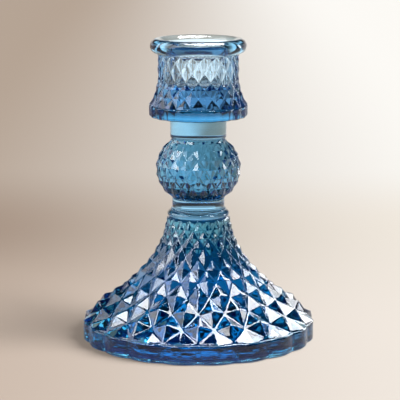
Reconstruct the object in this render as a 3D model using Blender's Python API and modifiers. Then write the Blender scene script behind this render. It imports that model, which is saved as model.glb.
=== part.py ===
"""Pressed-glass candlestick for one taper candle.

The stick is a stack of moulded glass sections on one upright axis: a heavy flared
foot, a collar, a short lower neck, a knop, an upper neck, a fluted drip skirt, the
candle cup and its rim bead.  Each section is a solid of its own, modelled from its
own lower joint face upwards, and stands on the section below with a thin joint gap.
The foot, knop and cup carry a diamond-point pattern: low four-sided pyramids between
two sets of grooves that wind round the section in opposite directions.

Units are metres, +Z is up, the origin is the middle of the standing face.
"""
from math import atan2, cos, hypot, pi, radians, sin

import bmesh
import bpy
from mathutils import Vector

MM = 0.001

# Pattern shared by every section
DIAMONDS = 20                       # diamonds, and lobes, once round the stick
COLUMNS = 2 * DIAMONDS              # a groove crossing or a point every half diamond
SMOOTH_STEPS = 48                   # sides of a plain turned section
JOINT_GAP = 0.3 * MM                # between one section and the next

# Foot
FOOT_HEIGHT = 53.2 * MM
BASE_RADIUS = 50.5 * MM             # over the lobes of the standing rim
BASE_LOBE_DEPTH = 1.2 * MM
BASE_WALL_HEIGHT = 8.2 * MM
BASE_EDGE = 0.6 * MM                # chamfer above and below the standing rim
FLARE_RADIUS = 48.5 * MM            # grooves, where the flare meets the rim
STEM_RADIUS = 12.5 * MM             # radius the flare runs out to
FLARE_VANISH = 60.0 * MM            # height where it would reach that radius
FLARE_POWER = 2.3
FOOT_POINT_RISE = 0.080             # height of a point, as a share of its radius
FLARE_ROWS = [h * MM for h in (52.5, 49.3, 45.9, 42.3, 38.2, 33.4, 28.6, 23.1, 17.7, 12.7, 8.6)]
FOOT_TOP_RADIUS = 12.9 * MM
HOLLOW_RADIUS = 44.0 * MM           # of the dished underside
HOLLOW_HEIGHT = 6.0 * MM
HOLLOW_RINGS = 8

# Collar and necks
COLLAR_HEIGHT = 3.7 * MM
COLLAR_RADIUS = 13.4 * MM
COLLAR_BEAD = 1.2 * MM              # radius of its half-round ring
COLLAR_TOP_RADIUS = 11.9 * MM
LOWER_NECK_HEIGHT = 4.2 * MM
LOWER_NECK_RADIUS = 11.3 * MM
UPPER_NECK_HEIGHT = 8.7 * MM
UPPER_NECK_RADIUS = 12.1 * MM
NECK_EDGE = 0.4 * MM

# Knop
KNOP_HEIGHT = 25.6 * MM
KNOP_RADIUS = 17.5 * MM             # grooves, at the widest place
KNOP_POINT_RISE = 0.060
KNOP_HALF_AXIS = 16.0 * MM          # upright half axis of its oval outline
KNOP_CENTRE = 12.4 * MM             # height of the widest place
KNOP_TOP_ANGLE = radians(48.5)      # where the oval is cut off above and below
KNOP_BOTTOM_ANGLE = radians(-50.8)
KNOP_ROWS = 8
KNOP_TOP_RADIUS = 11.7 * MM

# Drip skirt
SKIRT_HEIGHT = 4.95 * MM
SKIRT_RADIUS = 21.2 * MM            # over the flutes
SKIRT_LOBE_DEPTH = 0.7 * MM
SKIRT_EDGE = 0.9 * MM               # rounding of its lower edge

# Candle cup
CUP_HEIGHT = 21.55 * MM
CUP_RADIUS = 16.8 * MM              # grooves, on the straight part of the wall
CUP_POINT_RISE = 0.060
CUP_SPREAD = 3.6 * MM               # how much wider the cup is at its foot
CUP_SPREAD_HEIGHT = 12.0 * MM
CUP_ROWS = [h * MM for h in (21.55, 19.25, 15.05, 10.85, 7.7, 4.1, 0.0)]
WELL_RADIUS = 12.0 * MM             # takes a 22 mm taper candle with some play
WELL_FLOOR = 8.4 * MM               # glass under the candle
WELL_ROUNDING = 1.5 * MM

# Rim bead
BEAD_HEIGHT = 6.4 * MM
BEAD_TUBE = 3.2 * MM                # radius of the round bead
BEAD_RING = 17.5 * MM               # radius of the circle it runs round
BEAD_ARC_STEPS = 6

# Finish
CREASE_ANGLE = radians(10)          # edges sharper than this stay crisp
GLASS_IOR = 1.5
GLASS_ROUGHNESS = 0.02
RIM_BLUE = (0.50, 0.72, 0.86, 1.0)
CUP_BLUE = (0.32, 0.58, 0.80, 1.0)
NECK_BLUE = (0.28, 0.56, 0.74, 1.0)
KNOP_BLUE = (0.10, 0.32, 0.52, 1.0)
FOOT_BLUE = (0.08, 0.30, 0.52, 1.0)


def clear_scene():
    """Remove every object of the open file."""
    for old in list(bpy.data.objects):
        bpy.data.objects.remove(old, do_unlink=True)


def new_collection(name):
    """A collection linked to the scene."""
    collection = bpy.data.collections.new(name)
    bpy.context.scene.collection.children.link(collection)
    return collection


def glass_material(name, colour):
    """Clear coloured glass."""
    material = bpy.data.materials.new(name)
    material.use_nodes = True
    shader = material.node_tree.nodes["Principled BSDF"]
    shader.inputs["Base Color"].default_value = colour
    shader.inputs["Roughness"].default_value = GLASS_ROUGHNESS
    shader.inputs["Metallic"].default_value = 0.0
    shader.inputs["IOR"].default_value = GLASS_IOR
    shader.inputs["Transmission Weight"].default_value = 1.0
    return material


def arc(centre, radius, start, end, steps):
    """Points of a circular arc in the (radius, height) plane, both ends included."""
    points = []
    for step in range(steps + 1):
        angle = start + (end - start) * step / steps
        points.append((centre[0] + radius * cos(angle), centre[1] + radius * sin(angle)))
    return points


def turned_mesh(name, outline, steps, closed=False):
    """Spin an outline of (radius, height) points about Z into a mesh.

    The outline runs down the outer side from the top.  An open one starts and ends
    on the axis; a closed one is the section of a ring or a tube.
    """
    wire = bpy.data.meshes.new(name + "_outline")
    edges = [(i, i + 1) for i in range(len(outline) - 1)]
    if closed:
        edges.append((len(outline) - 1, 0))
    wire.from_pydata([(radius, 0.0, height) for radius, height in outline], edges, [])
    spun = bpy.data.objects.new(name + "_spun", wire)
    bpy.context.scene.collection.objects.link(spun)
    screw = spun.modifiers.new("turn", "SCREW")
    screw.axis = "Z"
    screw.steps = steps
    screw.render_steps = steps
    screw.use_merge_vertices = True
    screw.merge_threshold = 0.00001
    bpy.context.view_layer.update()
    evaluated = spun.evaluated_get(bpy.context.evaluated_depsgraph_get())
    mesh = bpy.data.meshes.new_from_object(evaluated)
    mesh.name = name
    bpy.data.objects.remove(spun, do_unlink=True)
    bpy.data.meshes.remove(wire)
    return mesh


def row_of(vertex, rows):
    """Which (radius, height) row a vertex of a spun mesh belongs to, or None."""
    reach = hypot(vertex.co.x, vertex.co.y)
    for index, (radius, height) in enumerate(rows):
        if hypot(reach - radius, vertex.co.z - height) < 0.02 * MM:
            return index
    return None


def row_normals(rows):
    """Outward direction of the outline at each row, as (radial, upward) pairs."""
    normals = []
    for index in range(len(rows)):
        above = rows[max(index - 1, 0)]
        below = rows[min(index + 1, len(rows) - 1)]
        down = above[1] - below[1]
        out = below[0] - above[0]
        length = hypot(down, out)
        normals.append((down / length, out / length))
    return normals


def cut_diamonds(mesh, rows, first_offset, point_rise):
    """Turn the grid of a spun mesh into diamond points.

    On each row every second vertex is a groove crossing and stays.  The others are
    raised into pyramid points, and each face is split along its groove.  The
    crossings of the first row start first_offset columns from the X axis, and a
    point stands point_rise times its radius above the grooves.
    """
    level_rows = (0, len(rows) - 1)
    normals = row_normals(rows)
    grid = bmesh.new()
    grid.from_mesh(mesh)
    row_index = {}
    crossings = set()
    for vertex in grid.verts:
        row = row_of(vertex, rows)
        if row is None:
            continue
        row_index[vertex] = row
        column = round(atan2(vertex.co.y, vertex.co.x) / (2 * pi / COLUMNS))
        if (column + row + first_offset) % 2 == 0:
            crossings.add(vertex)
    for face in list(grid.faces):
        corners = [vertex for vertex in face.verts if vertex in crossings]
        if len(face.verts) == 4 and len(corners) == 2 and all(v in row_index for v in face.verts):
            bmesh.utils.face_split(face, corners[0], corners[1])
    for vertex, row in row_index.items():
        if vertex in crossings:
            continue
        rise = point_rise * rows[row][0]
        upward = 0.0 if row in level_rows else normals[row][1]
        radial = Vector((vertex.co.x, vertex.co.y, 0.0)).normalized()
        vertex.co += radial * (rise * normals[row][0]) + Vector((0.0, 0.0, rise * upward))
    grid.to_mesh(mesh)
    grid.free()


def cut_lobes(mesh, rows, depth, first_offset):
    """Give the listed rows rounded lobes that meet in sharp notches.

    Each row gets a vertex between every two it has, and is drawn in by depth at the
    notches.  The notches start first_offset columns from the X axis.
    """
    grid = bmesh.new()
    grid.from_mesh(mesh)
    rings = []
    for edge in grid.edges:
        ends = [row_of(vertex, rows) for vertex in edge.verts]
        if ends[0] is not None and ends[0] == ends[1]:
            rings.append(edge)
    bmesh.ops.subdivide_edges(grid, edges=rings, cuts=1, use_grid_fill=True)
    for vertex in grid.verts:
        reach = hypot(vertex.co.x, vertex.co.y)
        for radius, height in rows:
            if abs(vertex.co.z - height) < 0.02 * MM and abs(reach - radius) < 0.01 * radius:
                angle = atan2(vertex.co.y, vertex.co.x) - first_offset * 2 * pi / COLUMNS
                lobed = radius - depth * (1.0 - abs(sin(angle * DIAMONDS / 2)))
                vertex.co.x *= lobed / reach
                vertex.co.y *= lobed / reach
    grid.to_mesh(mesh)
    grid.free()


def flare_radius(height):
    """Groove radius of the foot at a height."""
    rim_share = 1.0 - FLARE_ROWS[-1] / FLARE_VANISH
    share = (1.0 - height / FLARE_VANISH) / rim_share
    return STEM_RADIUS + (FLARE_RADIUS - STEM_RADIUS) * share ** FLARE_POWER


def hollow_outline():
    """The dished underside of the foot, from its middle out to the standing rim."""
    points = []
    for ring in range(HOLLOW_RINGS + 1):
        angle = (pi / 2) * ring / HOLLOW_RINGS
        height = HOLLOW_HEIGHT * cos(angle) ** 1.5
        points.append((HOLLOW_RADIUS * sin(angle), height))
    return points


def foot():
    """Flared foot: diamond points above, a smooth dished underside, a lobed rim."""
    flare = [(flare_radius(height), height) for height in FLARE_ROWS]
    rim = [
        (BASE_RADIUS - BASE_EDGE, BASE_WALL_HEIGHT),
        (BASE_RADIUS, BASE_WALL_HEIGHT - BASE_EDGE),
        (BASE_RADIUS, BASE_EDGE),
        (BASE_RADIUS - BASE_EDGE, 0.0),
    ]
    top = [(0.0, FOOT_HEIGHT), (FOOT_TOP_RADIUS, FOOT_HEIGHT)]
    outline = top + flare + rim + hollow_outline()[::-1]
    mesh = turned_mesh("foot", outline, COLUMNS)
    cut_lobes(mesh, rim, BASE_LOBE_DEPTH, 0)
    cut_diamonds(mesh, flare, 0, FOOT_POINT_RISE)
    return mesh


def collar():
    """Half-round ring with a short plain neck on it."""
    ring_centre = (COLLAR_RADIUS - COLLAR_BEAD, COLLAR_BEAD)
    ring = arc(ring_centre, COLLAR_BEAD, radians(75), radians(-75), 8)
    top = [(0.0, COLLAR_HEIGHT), (COLLAR_TOP_RADIUS, COLLAR_HEIGHT)]
    root = [(COLLAR_TOP_RADIUS, ring[0][1] + NECK_EDGE)]
    base = [(ring_centre[0], 0.0), (0.0, 0.0)]
    return turned_mesh("collar", top + root + ring + base, SMOOTH_STEPS)


def neck(name, radius, height):
    """Plain round neck with eased edges."""
    outline = [
        (0.0, height),
        (radius - NECK_EDGE, height),
        (radius, height - NECK_EDGE),
        (radius, NECK_EDGE),
        (radius - NECK_EDGE, 0.0),
        (0.0, 0.0),
    ]
    return turned_mesh(name, outline, SMOOTH_STEPS)


def knop():
    """Oval knop covered in diamond points, with a plain seat for the upper neck."""
    rows = []
    for row in range(KNOP_ROWS):
        share = row / (KNOP_ROWS - 1)
        angle = KNOP_TOP_ANGLE + (KNOP_BOTTOM_ANGLE - KNOP_TOP_ANGLE) * share
        height = KNOP_CENTRE + KNOP_HALF_AXIS * sin(angle)
        rows.append((KNOP_RADIUS * cos(angle), max(height, 0.0)))
    top = [(0.0, KNOP_HEIGHT), (KNOP_TOP_RADIUS, KNOP_HEIGHT)]
    mesh = turned_mesh("knop", top + rows + [(0.0, rows[-1][1])], COLUMNS)
    cut_diamonds(mesh, rows, 0, KNOP_POINT_RISE)
    return mesh


def drip_skirt():
    """Fluted disc that catches the drips, wider than the cup wall above it."""
    wall = [
        (SKIRT_RADIUS, SKIRT_HEIGHT),
        (SKIRT_RADIUS, SKIRT_EDGE),
        (SKIRT_RADIUS - 0.3 * SKIRT_EDGE, 0.3 * SKIRT_EDGE),
        (SKIRT_RADIUS - SKIRT_EDGE, 0.0),
    ]
    outline = [(0.0, SKIRT_HEIGHT)] + wall + [(0.0, 0.0)]
    mesh = turned_mesh("drip_skirt", outline, COLUMNS)
    cut_lobes(mesh, wall, SKIRT_LOBE_DEPTH, 1)
    return mesh


def cup_radius(height):
    """Groove radius of the cup at a height above its lower joint."""
    share = max(1.0 - height / CUP_SPREAD_HEIGHT, 0.0)
    return CUP_RADIUS + CUP_SPREAD * share ** 2


def candle_cup():
    """Patterned cup with a round blind well for the candle."""
    rows = [(cup_radius(height), height) for height in CUP_ROWS]
    corner = (WELL_RADIUS - WELL_ROUNDING, WELL_FLOOR + WELL_ROUNDING)
    floor = arc(corner, WELL_ROUNDING, radians(-90), 0.0, 3)
    well = [(0.0, WELL_FLOOR)] + floor + [(WELL_RADIUS, CUP_HEIGHT)]
    mesh = turned_mesh("candle_cup", well + rows + [(0.0, 0.0)], COLUMNS)
    cut_diamonds(mesh, rows, 1, CUP_POINT_RISE)
    return mesh


def rim_bead():
    """Round bead on the mouth of the cup, with a funnel down to the well."""
    centre = (BEAD_RING, BEAD_HEIGHT - BEAD_TUBE)
    outside = arc(centre, BEAD_TUBE, pi / 2, radians(-90), BEAD_ARC_STEPS * 2)
    inside = arc(centre, BEAD_TUBE, pi, pi / 2, BEAD_ARC_STEPS)
    mouth = [(WELL_RADIUS, 0.0)]
    return turned_mesh("rim_bead", outside + mouth + inside[:-1], SMOOTH_STEPS, closed=True)


def shade(mesh):
    """Shade a mesh smooth, but keep its creases crisp."""
    mesh.shade_smooth()
    mesh.set_sharp_from_angle(angle=CREASE_ANGLE)


def stack(collection, sections):
    """Stand the sections on one another, lowest first, under one empty."""
    root = bpy.data.objects.new("candlestick_axis", None)
    collection.objects.link(root)
    height = 0.0
    for mesh, section_height, colour in sections:
        mesh.materials.append(glass_material(mesh.name + "_glass", colour))
        shade(mesh)
        piece = bpy.data.objects.new(mesh.name, mesh)
        collection.objects.link(piece)
        piece.parent = root
        piece.location = (0.0, 0.0, height)
        height += section_height + JOINT_GAP


def main():
    clear_scene()
    stack(new_collection("glass_candlestick"), [
        (foot(), FOOT_HEIGHT, FOOT_BLUE),
        (collar(), COLLAR_HEIGHT, NECK_BLUE),
        (neck("lower_neck", LOWER_NECK_RADIUS, LOWER_NECK_HEIGHT), LOWER_NECK_HEIGHT, NECK_BLUE),
        (knop(), KNOP_HEIGHT, KNOP_BLUE),
        (neck("upper_neck", UPPER_NECK_RADIUS, UPPER_NECK_HEIGHT), UPPER_NECK_HEIGHT, NECK_BLUE),
        (drip_skirt(), SKIRT_HEIGHT, KNOP_BLUE),
        (candle_cup(), CUP_HEIGHT, CUP_BLUE),
        (rim_bead(), BEAD_HEIGHT, RIM_BLUE),
    ])
    bpy.context.view_layer.update()


main()
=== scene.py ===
"""Looks of the pressed-glass candlestick: clear blue glass on a pale studio floor.

Every moulded section is rebuilt as a fine closed mesh in the place of its CAD node:
flat diamond facets with narrow rounded ridges and grooves, round lobes, smooth turned
walls.  Lengths are in metres.
"""
from math import cos, pi, radians, sin, tan

import bpy
import numpy as np
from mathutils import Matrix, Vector


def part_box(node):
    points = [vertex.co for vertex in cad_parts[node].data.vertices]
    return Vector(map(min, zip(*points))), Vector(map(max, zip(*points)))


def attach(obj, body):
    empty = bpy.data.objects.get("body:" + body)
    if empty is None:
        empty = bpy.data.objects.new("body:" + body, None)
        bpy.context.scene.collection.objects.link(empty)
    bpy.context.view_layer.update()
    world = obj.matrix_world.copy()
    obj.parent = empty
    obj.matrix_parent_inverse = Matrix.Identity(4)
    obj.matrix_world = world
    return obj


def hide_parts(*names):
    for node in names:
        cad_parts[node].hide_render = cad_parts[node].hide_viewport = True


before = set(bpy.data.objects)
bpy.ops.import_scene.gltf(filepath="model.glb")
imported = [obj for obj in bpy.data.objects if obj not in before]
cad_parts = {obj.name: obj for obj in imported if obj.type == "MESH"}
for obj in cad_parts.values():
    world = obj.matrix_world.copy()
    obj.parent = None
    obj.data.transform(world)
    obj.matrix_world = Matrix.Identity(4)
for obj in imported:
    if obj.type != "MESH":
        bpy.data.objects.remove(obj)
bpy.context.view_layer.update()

MM = 0.001
DIAMONDS = 20                  # diamonds and lobes once round
COLUMNS = 2 * DIAMONDS         # groove crossings and points once round
FINE = 6                       # vertices of a smooth ring in each column
ROUND = COLUMNS * FINE         # vertices of a whole smooth ring
ANGLES = 2 * pi * np.arange(ROUND) / ROUND

# how far the rounding of a facet's edges reaches in from them, as shares of its inradius:
# first its steep part, then where the facet is flat again
SOFT_EDGES = (0.30, 0.60)
CRISP_EDGES = (0.14, 0.26)
EDGE_SHARES = (0.12, 0.88)     # places of the two vertices along a facet's edge
CORNER_EASE = 0.5              # how far a corner moves towards the rounded edges round it
CREASE_ANGLE = radians(50)     # edges sharper than this stay crisp


def span(node):
    """Lowest and highest z of a CAD node."""
    low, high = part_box(node)
    return low.z, high.z


# ---------------------------------------------------------------- outlines and rings

def arc(centre, radius, start, end, steps):
    """Points of an arc in the (radius, height) plane, angles in degrees."""
    angles = np.radians(np.linspace(start, end, steps + 1))
    return [(centre[0] + radius * cos(a), centre[1] + radius * sin(a)) for a in angles]


def ring(radius, height):
    """One ring of points; radius is a number or one value for each point."""
    radius = np.broadcast_to(np.asarray(radius, float), (ROUND,))
    return np.stack([radius * np.cos(ANGLES), radius * np.sin(ANGLES),
                     np.full(ROUND, float(height))], axis=1)


def rings(points):
    """Rings through (radius, height) points."""
    return [ring(radius, height) for radius, height in points]


def lobed(points, depth, offset):
    """Rings with rounded lobes that meet in notches, offset columns from the X axis."""
    notch = 1 - np.abs(np.sin(DIAMONDS / 2 * (ANGLES - offset * 2 * pi / COLUMNS)))
    return [ring(radius - depth * notch, height) for radius, height in points]


# ---------------------------------------------------------------- meshes

class Shell:
    """A closed mesh under construction, from rings that run down its outer side."""

    def __init__(self, node, edges=SOFT_EDGES):
        self.name = node + "_glass"
        self.rounded, self.flat = edges
        self.verts = []
        self.faces = []

    def add(self, points):
        """Add points and return their vertex numbers."""
        start = len(self.verts)
        self.verts.extend(Vector(point) for point in points)
        return list(range(start, len(self.verts)))

    def bridge(self, upper, lower):
        """Join two rings with quads that face outwards."""
        for i in range(ROUND):
            j = (i + 1) % ROUND
            self.faces.append((upper[i], lower[i], lower[j], upper[j]))

    def run(self, upper, stack):
        """Go on from the ring upper through a stack of rings, and return the last one."""
        for points in stack:
            lower = self.add(points)
            self.bridge(upper, lower)
            upper = lower
        return upper

    def top(self, stack):
        """Start with a flat end face and go on through a stack of rings."""
        first = self.add(stack[0])
        self.faces.append(tuple(first))
        return self.run(first, stack[1:])

    def bottom(self, upper, stack=()):
        """Go on through a stack of rings and end with a flat end face."""
        self.faces.append(tuple(reversed(self.run(upper, stack))))

    def diamonds(self, rows, first_offset, rise):
        """Diamond points over (radius, height) rows of groove crossings.

        Returns the vertex numbers of the top ring and of the bottom ring.
        """
        corners = self.add(diamond_corners(rows, first_offset, rise))
        grid = []
        for start in range(0, len(corners), COLUMNS):
            row = corners[start:start + COLUMNS]
            grid.append(row + row[:1])
        facets = diamond_facets(grid, first_offset)
        edges = self.split_edges(facets)
        self.round_edges(facets, edges)
        for facet in facets:
            self.inset(facet, edges)
        return rim_points(edges, grid[0]), rim_points(edges, grid[-1])

    def split_edges(self, facets):
        """Vertices along every facet edge: two inside the pattern, FINE - 1 on its rims."""
        uses = {}
        for facet in facets:
            for edge in facet_edges(facet):
                uses[edge] = uses.get(edge, 0) + 1
        edges = {}
        for edge, count in uses.items():
            start, end = self.verts[edge[0]], self.verts[edge[1]]
            shares = EDGE_SHARES if count == 2 else [i / FINE for i in range(1, FINE)]
            edges[edge] = self.add([start.lerp(end, share) for share in shares])
        return edges

    def facet_sides(self, facets):
        """For each edge, the normal, middle and inradius of the facets beside it."""
        sides = {}
        for facet in facets:
            p, q, r = (self.verts[i] for i in facet)
            normal = (q - p).cross(r - p)
            inradius = normal.length / sum([(q - p).length, (r - q).length, (p - r).length])
            side = (normal.normalized(), (p + q + r) / 3, inradius)
            for edge in facet_edges(facet):
                sides.setdefault(edge, []).append(side)
        return sides

    def edge_shift(self, first, second):
        """Way to move the edge between two facets: a ridge goes in, a groove comes out."""
        (n1, m1, r1), (n2, m2, r2) = first, second
        ridge = 1 if n1.dot(m2 - m1) < 0 else -1
        depth = self.rounded * (r1 + r2) / 2 * tan(n1.angle(n2, 0.0) / 4)
        return (n1 + n2).normalized() * (-ridge * depth)

    def round_edges(self, facets, edges):
        """Lower the ridges and points, and fill the grooves and crossings, a little."""
        rims, around = set(), {}
        for edge, sides in self.facet_sides(facets).items():
            if len(sides) < 2:
                rims.update(edge)
                continue
            shift = self.edge_shift(*sides)
            for corner, number in zip(edge, edges[edge]):
                self.verts[number] = self.verts[number] + shift
                around.setdefault(corner, []).append(number)
        for corner, numbers in around.items():
            if corner not in rims:
                middle = sum((self.verts[n] for n in numbers), Vector()) / len(numbers)
                self.verts[corner] = self.verts[corner].lerp(middle, CORNER_EASE)

    def inset(self, facet, edges):
        """Faces of one triangular facet: a rounded border round a flat middle."""
        p, q, r = (self.verts[i] for i in facet)
        weights = ((r - q).length, (p - r).length, (q - p).length)
        centre = (p * weights[0] + q * weights[1] + r * weights[2]) / sum(weights)
        outer = self.add([point.lerp(centre, self.rounded) for point in (p, q, r)])
        inner = self.add([point.lerp(centre, self.flat) for point in (p, q, r)])
        for i in range(3):
            j = (i + 1) % 3
            along = edge_points(edges, facet[i], facet[j])
            before = edge_points(edges, facet[i - 1], facet[i])
            self.faces.append((before[-1], facet[i], along[0], outer[i]))
            self.faces.append((*along, outer[j], outer[i]))
            self.faces.append((outer[i], outer[j], inner[j], inner[i]))
        self.faces.append(tuple(inner))

    def finish(self):
        """Make the mesh and its object."""
        mesh = bpy.data.meshes.new(self.name)
        mesh.from_pydata(self.verts, [], self.faces)
        mesh.validate()
        mesh.shade_smooth()
        mesh.set_sharp_from_angle(angle=CREASE_ANGLE)
        piece = bpy.data.objects.new(self.name, mesh)
        bpy.context.scene.collection.objects.link(piece)
        return piece


def diamond_corners(rows, first_offset, rise):
    """Groove crossings on the rows, alternating with points raised off them."""
    outline = np.array(rows)
    tangent = np.gradient(outline, axis=0)
    tangent /= np.hypot(tangent[:, 0], tangent[:, 1])[:, None]
    out_radial, out_up = -tangent[:, 1], tangent[:, 0]
    out_up[[0, -1]] = 0.0                          # the end rows stay level
    turn = 2 * pi * np.arange(COLUMNS) / COLUMNS
    points = []
    for row, (radius, height) in enumerate(rows):
        raised = (np.arange(COLUMNS) + row + first_offset) % 2
        lift = raised * rise * radius
        wide = radius + lift * out_radial[row]
        points.append(np.stack([wide * np.cos(turn), wide * np.sin(turn),
                                height + lift * out_up[row]], axis=1))
    return np.concatenate(points)


def diamond_facets(grid, first_offset):
    """Two triangles for each cell of a grid of corners, which meet in its groove."""
    facets = []
    for row, (upper, lower) in enumerate(zip(grid, grid[1:])):
        for column in range(COLUMNS):
            a, b = upper[column:column + 2]
            d, c = lower[column:column + 2]
            if (column + row + first_offset) % 2 == 0:
                facets += [(a, d, c), (a, c, b)]
            else:
                facets += [(a, d, b), (d, c, b)]
    return facets


def facet_edges(facet):
    """The three edges of a facet, each with its lower vertex number first."""
    return [tuple(sorted(pair)) for pair in zip(facet, facet[1:] + facet[:1])]


def edge_points(edges, start, end):
    """Vertices between two corners, in order from start to end."""
    numbers = edges[tuple(sorted((start, end)))]
    return list(numbers) if start < end else list(reversed(numbers))


def rim_points(edges, corners):
    """Every vertex round a rim of the pattern, whose first corner is also its last."""
    numbers = []
    for start, end in zip(corners, corners[1:]):
        numbers += [start] + edge_points(edges, start, end)
    return numbers


# ---------------------------------------------------------------- sections

# height of a diamond's point over the grooves, as a share of the radius there
FOOT_RISE, KNOP_RISE, CUP_RISE = 0.080, 0.050, 0.045
WALL_TOP = 8.2 * MM            # of the foot's upright wall
WELL_RADIUS = 12.0 * MM


def flare_row(height):
    """Groove radius of the foot at a height, and that height."""
    stem, edge, vanish, rim, sweep = 12.5 * MM, 48.5 * MM, 60.0 * MM, 8.6 * MM, 2.3
    share = (1 - height / vanish) / (1 - rim / vanish)
    return stem + (edge - stem) * share ** sweep, height


def foot_wall():
    """Outline of the foot's upright wall, from its top edge down to the table."""
    radius, top_ease, base_ease, margin = 50.5 * MM, 0.7 * MM, 0.8 * MM, 1.4 * MM
    wall = arc((radius - top_ease, WALL_TOP - top_ease), top_ease, 90, 0, 4)
    wall += [(radius, z) for z in np.linspace(WALL_TOP - margin, margin, 6)]
    wall += arc((radius - base_ease, base_ease), base_ease, 0, -90, 4)
    return wall


def foot_dish():
    """Outline of the dished underside, from the standing rim in towards the axis."""
    radius, height, bend = 44.0 * MM, 6.0 * MM, 1.5
    turns = np.linspace(radians(90), radians(2), 48)
    return [(radius * sin(a), height * cos(a) ** bend) for a in turns]


def foot_piece(node):
    """Flared foot: diamonds on top, lobes round its wall, a dish underneath."""
    high = span(node)[1]
    stem, ease, notch = 12.9 * MM, 0.3 * MM, 1.2 * MM
    heights = (52.5, 49.3, 45.9, 42.3, 38.2, 33.4, 28.6, 23.1, 17.7, 12.7, 8.6)
    shell = Shell(node)
    seat = shell.top(rings([(stem - ease, high), (stem, high - ease)]))
    first, last = shell.diamonds([flare_row(h * MM) for h in heights], 0, FOOT_RISE)
    shell.bridge(seat, first)
    shell.bottom(last, lobed(foot_wall(), notch, 0) + rings(foot_dish()))
    return shell.finish()


def collar_piece(node):
    """Half-round ring with a short plain neck above it."""
    low, high = span(node)
    neck, ease, base, bulge, tube = 11.9 * MM, 0.4 * MM, 11.5 * MM, 12.2 * MM, 1.2 * MM
    bead = arc((bulge, low + tube), tube, 75, -80, 12)
    points = arc((neck - ease, high - ease), ease, 90, 0, 3)
    points += [(neck, bead[0][1] + ease)] + bead + [(base, low)]
    shell = Shell(node)
    shell.bottom(shell.top(rings(points)))
    return shell.finish()


def neck_piece(node):
    """Plain round neck, as wide as its CAD node."""
    low, high = span(node)
    radius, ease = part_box(node)[1].x, 0.4 * MM
    points = arc((radius - ease, high - ease), ease, 90, 0, 4)
    points += arc((radius - ease, low + ease), ease, 0, -90, 4)
    shell = Shell(node)
    shell.bottom(shell.top(rings(points)))
    return shell.finish()


def knop_piece(node):
    """Oval knop, with diamonds between its flat ends."""
    low, high = span(node)
    groove, middle, half_height = 17.7 * MM, low + 12.4 * MM, 16.0 * MM
    seat_radius, ease = 11.7 * MM, 0.3 * MM
    rows = []
    for a in np.radians(np.linspace(48.5, -50.8, 8)):
        rows.append((groove * cos(a), max(middle + half_height * sin(a), low)))
    shell = Shell(node, CRISP_EDGES)
    seat = shell.top(rings([(seat_radius - ease, high), (seat_radius, high - ease)]))
    first, last = shell.diamonds(rows, 0, KNOP_RISE)
    shell.bridge(seat, first)
    shell.bottom(last)
    return shell.finish()


def skirt_piece(node):
    """Flat disc with lobes round its edge."""
    low, high = span(node)
    radius, notch, top_ease, base_ease = 21.2 * MM, 0.7 * MM, 0.4 * MM, 1.1 * MM
    wall = arc((radius - top_ease, high - top_ease), top_ease, 90, 0, 4)
    wall += arc((radius - base_ease, low + base_ease), base_ease, 0, -90, 6)
    shell = Shell(node)
    shell.bottom(shell.top(lobed(wall, notch, 1)))
    return shell.finish()


def cup_row(height, low):
    """Groove radius of the cup at a height over its base, which is at low, and its z."""
    wall, spread, spread_height = 16.8 * MM, 3.6 * MM, 12.0 * MM
    share = max(1 - height / spread_height, 0)
    return wall + spread * share ** 2, low + height


def cup_piece(node):
    """Cup with diamonds outside and the round well for the candle inside."""
    low, high = span(node)
    floor_z, ease = low + 8.4 * MM, 1.5 * MM
    heights = (21.55, 19.25, 15.05, 10.85, 7.7, 4.1, 0.0)
    points = arc((WELL_RADIUS - ease, floor_z + ease), ease, -90, 0, 6)
    points += [(WELL_RADIUS, z) for z in np.linspace(floor_z + 2 * ease, high, 6)]
    shell = Shell(node, CRISP_EDGES)
    mouth = shell.top(rings(points))
    first, last = shell.diamonds([cup_row(h * MM, low) for h in heights], 1, CUP_RISE)
    shell.bridge(mouth, first)
    shell.bottom(last)
    return shell.finish()


def bead_piece(node):
    """Round bead on the mouth of the cup, with a funnel down to the well."""
    low, high = span(node)
    tube, bead, seat = 3.2 * MM, 17.5 * MM, 14.5 * MM
    funnel = bead - tube - WELL_RADIUS
    points = arc((bead, high - tube), tube, 90, -90, 32) + [(seat, low), (WELL_RADIUS, low)]
    for share in np.linspace(0.15, 0.95, 7):
        points.append((WELL_RADIUS + funnel * share ** 2, low + tube * share))
    points += arc((bead, high - tube), tube, 180, 90, 16)[:-1]
    shell = Shell(node)
    stack = rings(points)
    first = shell.add(stack[0])
    shell.bridge(shell.run(first, stack[1:]), first)
    return shell.finish()


# ---------------------------------------------------------------- materials

GLASS_IOR = 1.5

# light lost along one millimetre of glass, for red, green and blue: CLEAR is the glass's
# own blue, and the four others are darker copies of it, painted shade that darkens the
# foot, skirt, knop and cup beyond their own blue
FOOT_SHADED_ABSORB = (0.085, 0.0245, 0.0085)
SKIRT_SHADED_ABSORB = (0.075, 0.026, 0.0075)
KNOP_SHADED_ABSORB = (0.066, 0.026, 0.009)
CUP_SHADED_ABSORB = (0.062, 0.028, 0.0070)
CLEAR = (0.053, 0.0186, 0.0026)

# noise on the glass: its waves in a metre along X, Y and Z, and its detail
SKIN_NOISE = ((220.0, 220.0, 220.0), 0.0)
STREAK_NOISE = ((70.0, 70.0, 900.0), 2.0)
POLISH_NOISE = ((120.0, 120.0, 120.0), 3.0)
SKIN_DEPTH = 0.03 * MM
STREAK_DEPTH = 0.10 * MM
STREAK_FADE = 1.5 * MM         # below the top of the wall
POLISH_RANGE = (0.35, 0.7)     # of the noise, over which the roughness goes up
ROUGHNESS = (0.0, 0.05)

# the colour sockets of a Mix node, which share their names with its other sockets
MIX_INPUTS, MIX_OUTPUT = (6, 7), 2


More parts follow.
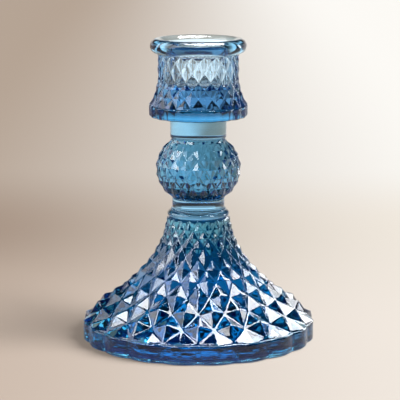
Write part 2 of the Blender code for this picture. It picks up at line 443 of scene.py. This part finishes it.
class Tree:
    """Short calls for building a node tree."""

    def __init__(self, tree):
        self.nodes, self.links = tree.nodes, tree.links

    def put(self, value, socket):
        """Link another node's socket, or set a constant."""
        if isinstance(value, bpy.types.NodeSocket):
            self.links.new(value, socket)
        else:
            socket.default_value = value

    def axes(self, place):
        """The X, Y and Z of a place or direction, by name."""
        node = self.nodes.new("ShaderNodeSeparateXYZ")
        self.put(place, node.inputs[0])
        return node.outputs

    def product(self, first, second):
        """Product of two numbers."""
        node = self.nodes.new("ShaderNodeMath")
        node.operation = "MULTIPLY"
        self.put(first, node.inputs[0])
        self.put(second, node.inputs[1])
        return node.outputs[0]

    def ramp(self, value, low, high, out_low=0.0, out_high=1.0):
        """Smooth step from out_low at low to out_high at high."""
        node = self.nodes.new("ShaderNodeMapRange")
        node.interpolation_type = "SMOOTHSTEP"
        for key, number in (("Value", value), ("From Min", low), ("From Max", high),
                            ("To Min", out_low), ("To Max", out_high)):
            self.put(number, node.inputs[key])
        return node.outputs[0]

    def mix(self, factor, first, second):
        """Colour that goes from first to second as factor goes from 0 to 1."""
        node = self.nodes.new("ShaderNodeMix")
        node.data_type = "RGBA"
        self.put(factor, node.inputs["Factor"])
        for value, key in zip((first, second), MIX_INPUTS):
            self.put((*value, 1) if isinstance(value, tuple) else value, node.inputs[key])
        return node.outputs[MIX_OUTPUT]

    def noise(self, place, waves, detail):
        """Noise over a place, with waves as their number in a metre along each axis."""
        scaled = self.nodes.new("ShaderNodeMapping")
        self.put(place, scaled.inputs["Vector"])
        self.put(waves, scaled.inputs["Scale"])
        node = self.nodes.new("ShaderNodeTexNoise")
        self.put(scaled.outputs[0], node.inputs["Vector"])
        self.put(1.0, node.inputs["Scale"])
        self.put(detail, node.inputs["Detail"])
        return node.outputs[0]

    def bump(self, height, depth, normal=None):
        """Bump of a height from 0 to 1, which stands for depth metres."""
        node = self.nodes.new("ShaderNodeBump")
        self.put(height, node.inputs["Height"])
        self.put(1.0, node.inputs["Strength"])
        self.put(depth, node.inputs["Distance"])
        if normal is not None:
            self.put(normal, node.inputs["Normal"])
        return node.outputs[0]


def wall_streaks(tree, place):
    """Level flow lines on the upright wall of the foot, fading out towards its top."""
    fade = tree.ramp(tree.axes(place)["Z"], WALL_TOP - STREAK_FADE, WALL_TOP, 1.0, 0.0)
    return tree.product(tree.noise(place, *STREAK_NOISE), fade)


def absorb_in_volume(tree, absorb):
    """Take light out along its way through the glass."""
    most = max(absorb)
    volume = tree.nodes.new("ShaderNodeVolumeAbsorption")
    volume.inputs["Color"].default_value = (*[1 - a / most for a in absorb], 1)
    volume.inputs["Density"].default_value = most / MM
    tree.put(volume.outputs[0], tree.nodes["Material Output"].inputs["Volume"])


def glass(name, absorb, streaks=False):
    """Clear blue glass; its colour deepens with the thickness it is seen through.

    Its fire-polished skin is faintly wavy, and a little less polished in places.
    """
    material = bpy.data.materials.new(name)
    material.use_nodes = True
    tree = Tree(material.node_tree)
    shader = tree.nodes["Principled BSDF"]
    shader.inputs["Base Color"].default_value = (1, 1, 1, 1)
    shader.inputs["IOR"].default_value = GLASS_IOR
    shader.inputs["Transmission Weight"].default_value = 1.0
    place = tree.nodes.new("ShaderNodeTexCoord").outputs["Object"]
    normal = tree.bump(tree.noise(place, *SKIN_NOISE), SKIN_DEPTH)
    if streaks:
        normal = tree.bump(wall_streaks(tree, place), STREAK_DEPTH, normal)
    tree.put(normal, shader.inputs["Normal"])
    polish = tree.noise(place, *POLISH_NOISE)
    tree.put(tree.ramp(polish, *POLISH_RANGE, *ROUGHNESS), shader.inputs["Roughness"])
    absorb_in_volume(tree, absorb)
    return material


# ---------------------------------------------------------------- build

# how a piece is made, the node it stands for, its slot and its absorption, darker than
# CLEAR where the absorption carries painted shade
PIECES = (
    (foot_piece, "foot", "foot_glass", FOOT_SHADED_ABSORB),
    (collar_piece, "collar", "neck_glass", CLEAR),
    (neck_piece, "lower_neck", "neck_glass", CLEAR),
    (knop_piece, "knop", "knop_glass", KNOP_SHADED_ABSORB),
    (neck_piece, "upper_neck", "neck_glass", CLEAR),
    (skirt_piece, "drip_skirt", "skirt_glass", SKIRT_SHADED_ABSORB),
    (cup_piece, "candle_cup", "cup_glass", CUP_SHADED_ABSORB),
    (bead_piece, "rim_bead", "rim_glass", CLEAR),
)

GLASS_PIECES = {}              # by node
for make, node, slot, absorb in PIECES:
    piece = make(node)
    piece.data.materials.append(glass(piece.name, absorb, node == "foot"))
    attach(piece, "root")
    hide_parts(node)
    GLASS_PIECES[node] = piece


# ---------------------------------------------------------------- floor

FLOOR_SIZE = 30.0
FLOOR_DROP = 0.2 * MM          # below the standing face
FLOOR_ROUGHNESS = 0.7

# tones of the paper at the stick and at two distances behind it: that distance, how far
# to each side the tones run, and the tones at their left and right ends.  Painted light
# and shade on the paper's own warm beige: near white on the right, where the light falls,
# warm grey on the left, and darkest on the left at the middle distance
NEAR_PAINTED_LIGHT = (0.0, 0.10, (0.60, 0.49, 0.41), (0.86, 0.79, 0.72))
MIDDLE_PAINTED_LIGHT = (0.23, 0.14, (0.38, 0.29, 0.23), (0.85, 0.79, 0.71))
FAR_PAINTED_LIGHT = (0.45, 0.20, (0.45, 0.36, 0.29), (0.95, 0.93, 0.89))


def painted_light_floor_material():
    """Pale matt paper, warm grey on the left to near white on the right: painted light and
    shade.
    """
    material = bpy.data.materials.new("floor")
    material.use_nodes = True
    tree = Tree(material.node_tree)
    shader = tree.nodes["Principled BSDF"]
    axes = tree.axes(tree.nodes.new("ShaderNodeNewGeometry").outputs["Position"])
    colour, before = None, None
    # painted light and shade: each row blends from its shaded left tone to its lit right
    # tone
    for depth, width, left, right in (NEAR_PAINTED_LIGHT, MIDDLE_PAINTED_LIGHT, FAR_PAINTED_LIGHT):
        across = tree.mix(tree.ramp(axes["X"], -width, width), left, right)
        if colour is None:
            colour = across
        else:
            colour = tree.mix(tree.ramp(axes["Y"], before, depth), colour, across)
        before = depth
    tree.put(colour, shader.inputs["Base Color"])
    shader.inputs["Roughness"].default_value = FLOOR_ROUGHNESS
    shader.inputs["Specular IOR Level"].default_value = 0.0
    return material


bpy.ops.mesh.primitive_plane_add(size=FLOOR_SIZE, location=(0, 0, -FLOOR_DROP))
floor = bpy.context.object
floor.name = "floor"
floor.data.materials.append(painted_light_floor_material())


# ---------------------------------------------------------------- lights

AIM = Vector((0.0, 0.0, 0.06))     # about halfway up the stick, where the softboxes point
FILL = 0.35                        # share of the paper's light that casts no shadow


def facing(place, target):
    """Rotation of a lamp or camera at one place that looks at another."""
    return (Vector(target) - Vector(place)).to_track_quat("-Z", "Y").to_euler()


def lamp_at(light, location, target, lit, shading=None, shine=True, glow=True):
    """Put a light in the scene, aimed at target, for the objects of one collection.

    Everything shades it, unless shading names the only objects that do.  Without shine
    the glass doesn't mirror it, and without glow it isn't seen through the glass.
    """
    lamp = bpy.data.objects.new(light.name, light)
    lamp.location = location
    lamp.rotation_euler = facing(location, target)
    lamp.visible_camera = False
    lamp.visible_glossy = shine
    lamp.visible_transmission = glow
    lamp.light_linking.receiver_collection = lit
    lamp.light_linking.blocker_collection = shading
    bpy.context.scene.collection.objects.link(lamp)


def softbox(name, azimuth, elevation, wide, high, radiance, lit, glow=False, distance=1.0):
    """Rectangular light; its place and its size are angles seen from the stick, in degrees.

    Azimuth runs from +Y to +X.  The light is either mirrored by the skin of the glass or,
    with glow, seen through the glass.
    """
    turn, lift = radians(azimuth), radians(elevation)
    outward = Vector((sin(turn) * cos(lift), cos(turn) * cos(lift), sin(lift)))
    light = bpy.data.lights.new(name, "AREA")
    light.shape = "RECTANGLE"
    light.size = 2 * distance * tan(radians(wide / 2))
    light.size_y = 2 * distance * tan(radians(high / 2))
    light.energy = radiance * pi * light.size * light.size_y
    lamp_at(light, AIM + outward * distance, AIM, lit, shine=not glow, glow=glow)


def paper_sun(name, direction, angle, share, shading=None):
    """Even light for the paper alone: with all its shares, its tone is its own colour."""
    light = bpy.data.lights.new(name, "SUN")
    light.energy = share * pi / Vector(direction).normalized().z
    light.angle = radians(angle)
    lamp_at(light, direction, (0, 0, 0), PAPER, shading)


def collection(name, *objects):
    """A collection that says which objects a light is meant for."""
    group = bpy.data.collections.new(name)
    for item in objects:
        group.objects.link(item)
    return group


def glass_of(*nodes):
    """The glass pieces that stand for some nodes."""
    return [GLASS_PIECES[node] for node in nodes]


PAPER = collection("paper", floor)
GLASS = collection("glass", *GLASS_PIECES.values())
CUT_GLASS = collection("cut_glass", *glass_of("foot", "knop"))
FOOT = collection("foot_only", *glass_of("foot"))
CLEAR_GLASS = collection(
    "clear_glass", *glass_of("collar", "lower_neck", "drip_skirt", "rim_bead"))
CUP_AND_RIM = collection("cup_and_rim", *glass_of("candle_cup", "rim_bead"))

paper_sun("paper_key", (1.0, -0.30, 0.9), 45, 1 - FILL)
paper_sun("paper_fill", (0.0, 0.0, 1.0), 90, FILL, PAPER)

# azimuth, elevation, width and height in degrees, radiance, and what it lights
softbox("left_panel", 270, 34, 62, 50, 3.0, GLASS)
softbox("left_front", 224, 38, 28, 44, 11.0, CUT_GLASS)
softbox("back_right", 35, 40, 24, 60, 10.0, FOOT)
softbox("right_low", 62, 12, 10, 26, 8.0, GLASS)
softbox("overhead", 60, 80, 44, 44, 18.0, GLASS)
softbox("foot_glow", 0, 44, 80, 16, 1.5, FOOT, glow=True)
softbox("clear_glow", 0, 12, 60, 20, 0.4, CLEAR_GLASS, glow=True)
softbox("cup_glow", 0, -3, 40, 14, 0.65, CUP_AND_RIM, glow=True, distance=0.4)


# ---------------------------------------------------------------- world

BACKDROP = (0.85, 0.80, 0.75)
SURROUND = (0.02, 0.02, 0.02)
BACKDROP_SIDE = (0.45, 0.8)    # Y of a direction, over which the backdrop fades in
BACKDROP_TOP = (0.12, 0.30)    # Z of a direction, over which the backdrop fades out


def build_world():
    """Pale backdrop low behind the stick and dark elsewhere, in what the glass shows.

    What the camera sees of the world itself has the backdrop's tone all round.
    """
    world = bpy.data.worlds.new("studio")
    bpy.context.scene.world = world
    world.use_nodes = True
    tree = Tree(world.node_tree)
    background = tree.nodes["Background"]
    axes = tree.axes(tree.nodes.new("ShaderNodeTexCoord").outputs["Generated"])
    behind = tree.ramp(axes["Y"], *BACKDROP_SIDE)
    low = tree.ramp(axes["Z"], *BACKDROP_TOP, 1.0, 0.0)
    light = tree.mix(tree.product(behind, low), SURROUND, BACKDROP)
    path = tree.nodes.new("ShaderNodeLightPath")
    colour = tree.mix(path.outputs["Is Camera Ray"], light, BACKDROP)
    tree.put(colour, background.inputs["Color"])
    background.inputs["Strength"].default_value = 1.0


build_world()


# ---------------------------------------------------------------- camera and light paths

EYE = (0, -0.76833, 0.20539)
LOOK_AT = (0.0007, 0, 0.0602)
LENS, SENSOR = 162.3, 36       # in millimetres
GLASS_BOUNCES, MIRROR_BOUNCES, CLEAR_BOUNCES = 24, 12, 16

camera_data = bpy.data.cameras.new("camera")
camera_data.lens = LENS
camera_data.sensor_width = SENSOR
camera = bpy.data.objects.new("camera", camera_data)
camera.location = EYE
camera.rotation_euler = facing(EYE, LOOK_AT)

scene = bpy.context.scene
scene.collection.objects.link(camera)
scene.camera = camera
scene.view_settings.view_transform = "Standard"
scene.cycles.max_bounces = GLASS_BOUNCES
scene.cycles.transmission_bounces = GLASS_BOUNCES
scene.cycles.glossy_bounces = MIRROR_BOUNCES
scene.cycles.transparent_max_bounces = CLEAR_BOUNCES
scene.cycles.caustics_refractive = False
scene.cycles.caustics_reflective = False
